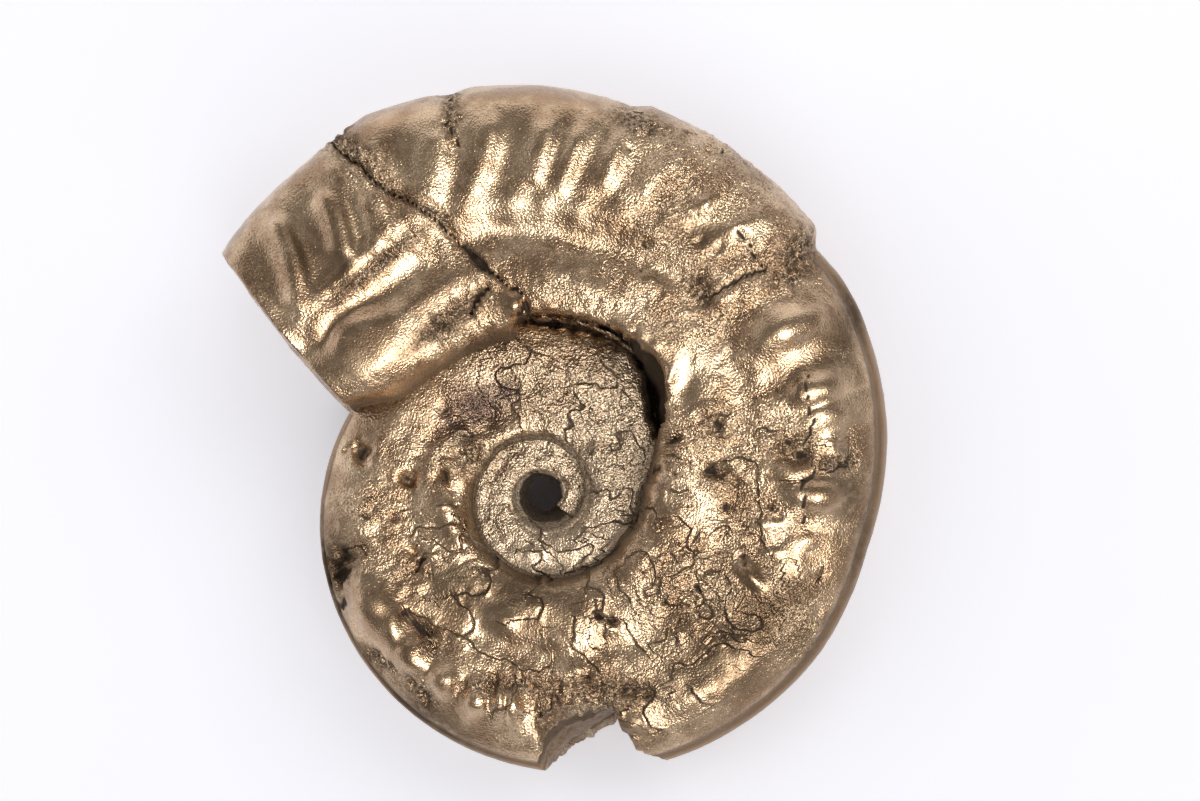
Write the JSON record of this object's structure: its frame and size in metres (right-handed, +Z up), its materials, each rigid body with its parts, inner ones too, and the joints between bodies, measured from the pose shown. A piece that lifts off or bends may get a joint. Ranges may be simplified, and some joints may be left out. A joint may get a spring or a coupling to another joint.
{
  "type": "ammonite fossil",
  "caption": "Small pyritised ammonite lying on its side: a ribbed, keeled flat coil with a see-through centre hole, cracks, a notched rim and a broken-off end.",
  "frame": {"origin": "centre of the bounding box's bottom face, on the surface that the fossil lies on", "axes": "+Z up, within about 3 degrees of the coil's axis; +Y from the notched rim to the ribbed last part of the coil; +X to the right seen from above, away from the broken end"},
  "size_m": [0.0366, 0.0376, 0.0107],
  "materials": {
    "pyrite": "satin"
  },
  "bodies": {
    "root": {"ammonite": "pyrite"}
  },
  "joints": []
}
